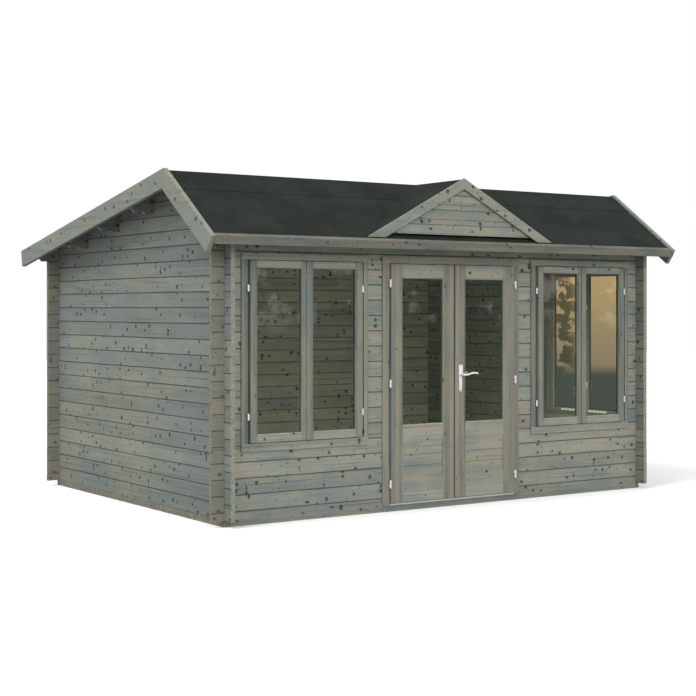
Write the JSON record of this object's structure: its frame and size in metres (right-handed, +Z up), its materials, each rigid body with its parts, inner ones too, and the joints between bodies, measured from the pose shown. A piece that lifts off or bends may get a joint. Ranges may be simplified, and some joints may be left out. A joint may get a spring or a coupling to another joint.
{
  "type": "garden shed",
  "caption": "Garden room of interlocking machined logs with an unequal felted gable roof, a small gable over glazed double doors and tall double windows.",
  "frame": {"origin": "centre of the whole footprint, roof overhangs included, on the ground", "axes": "+X to the right along the front with the doors, +Y from the front to the back, +Z up"},
  "size_m": [4.4, 3.54, 2.5271],
  "materials": {
    "wall_boards": "weathered grey-green stain",
    "frame_wood": "weathered warm grey stain",
    "roof_wood": "stained boards",
    "trim_wood": "weathered grey stain",
    "base_wood": "treated timber",
    "roof_felt": "mineral-faced roofing felt",
    "glazing": "clear",
    "fittings": "light silver",
    "threshold_metal": "brushed"
  },
  "bodies": {
    "house": {"foundation_beams": "base_wood", "floor_boards": "base_wood", "front_wall_left": "wall_boards", "front_wall_right": "wall_boards", "front_wall_over_door": "wall_boards", "left_wall": "wall_boards", "right_wall": "wall_boards", "back_wall": "wall_boards", "ridge_purlin": "roof_wood", "rear_purlin_1": "roof_wood", "rear_purlin_2": "roof_wood", "rear_purlin_3": "roof_wood", "roof_boards_front": "roof_wood", "roof_boards_rear": "roof_wood", "roof_felt_front": "roof_felt", "roof_felt_rear": "roof_felt", "roof_felt_ridge": "roof_felt", "fascia_front": "trim_wood", "fascia_rear": "trim_wood", "bargeboards_left": "trim_wood", "bargeboards_right": "trim_wood", "small_gable_panel": "wall_boards", "small_gable_boards": "roof_wood", "small_gable_felt": "roof_felt", "small_gable_bargeboards": "trim_wood", "window_left_frame": "frame_wood", "window_right_frame": "frame_wood", "window_side_frame": "frame_wood", "window_sashes": "frame_wood", "window_glass": "glazing", "window_fittings": "fittings", "door_frame": "frame_wood", "door_threshold": "threshold_metal", "frame_hinges": "fittings"},
    "left_door": {"left_leaf": "frame_wood", "left_leaf_glass": "glazing", "left_leaf_hinges": "fittings"},
    "right_door": {"right_leaf": "frame_wood", "right_leaf_glass": "glazing", "right_leaf_hinges": "fittings", "cover_strip": "frame_wood", "lock_plates": "fittings"},
    "door_handle": {"lever_handle": "fittings"}
  },
  "joints": [
    {"name": "left_door_hinge", "type": "hinge", "parent": "house", "child": "left_door", "pos_m": [-0.603, -1.583, 1], "axis": [0, 0, -1], "range_deg": [0, 110]},
    {"name": "right_door_hinge", "type": "hinge", "parent": "house", "child": "right_door", "pos_m": [0.603, -1.583, 1], "axis": [0, 0, 1], "range_deg": [0, 110]},
    {"name": "door_handle_turn", "type": "hinge", "parent": "right_door", "child": "door_handle", "pos_m": [0.059, -1.555, 1.014], "axis": [0, 1, 0], "range_deg": [0, 35], "stiffness_Nm_per_rad": 1.5, "springref_deg": -11.46}
  ]
}
